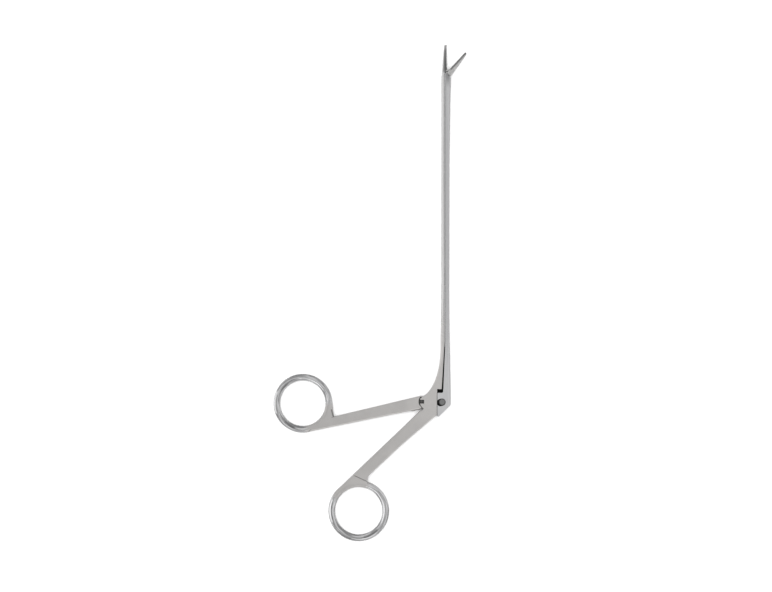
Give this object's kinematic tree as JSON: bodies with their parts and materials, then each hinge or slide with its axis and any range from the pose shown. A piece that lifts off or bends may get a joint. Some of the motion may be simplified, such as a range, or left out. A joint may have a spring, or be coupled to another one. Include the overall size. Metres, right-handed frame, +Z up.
{
  "type": "alligator forceps",
  "caption": "Alligator forceps with ring handles, a long sliding shaft and one serrated jaw that swings open.",
  "frame": {"origin": "below the middle of the whole instrument, on the plane it lies on", "axes": "+X towards the side the jaw opens to, +Y along the shaft towards the jaws, +Z up through the thickness"},
  "size_m": [0.0964, 0.248, 0.005],
  "materials": {
    "satin_steel": "satin",
    "jaw_steel": "satin",
    "pin_steel": "satin"
  },
  "bodies": {
    "fixed_half": {"fixed_handle": "satin_steel", "lever_pivot_pin": "satin_steel", "jaw_pivot_pin": "pin_steel"},
    "lever": {"finger_handle": "satin_steel", "drive_pin": "pin_steel"},
    "slider": {"sliding_shaft": "satin_steel", "jaw_link_pin": "pin_steel"},
    "jaw": {"moving_jaw": "jaw_steel"}
  },
  "joints": [
    {"name": "finger_squeeze", "type": "hinge", "parent": "fixed_half", "child": "lever", "pos_m": [0.02888, -0.05423, 0.0025], "axis": [0, 0, 1], "range_deg": [0, 10]},
    {"name": "shaft_slide", "type": "slide", "parent": "fixed_half", "child": "slider", "axis": [0, 1, 0], "range_m": [0, 0.00123]},
    {"name": "jaw_close", "type": "hinge", "parent": "fixed_half", "child": "jaw", "pos_m": [0.03848, 0.11071, 0.0025], "axis": [0, 0, 1], "range_deg": [0, 42.5]}
  ],
  "couplings": [
    {"joint": "shaft_slide", "follows": "finger_squeeze", "m_per_rad": 0.007036},
    {"joint": "jaw_close", "follows": "finger_squeeze", "ratio": 4.25}
  ]
}
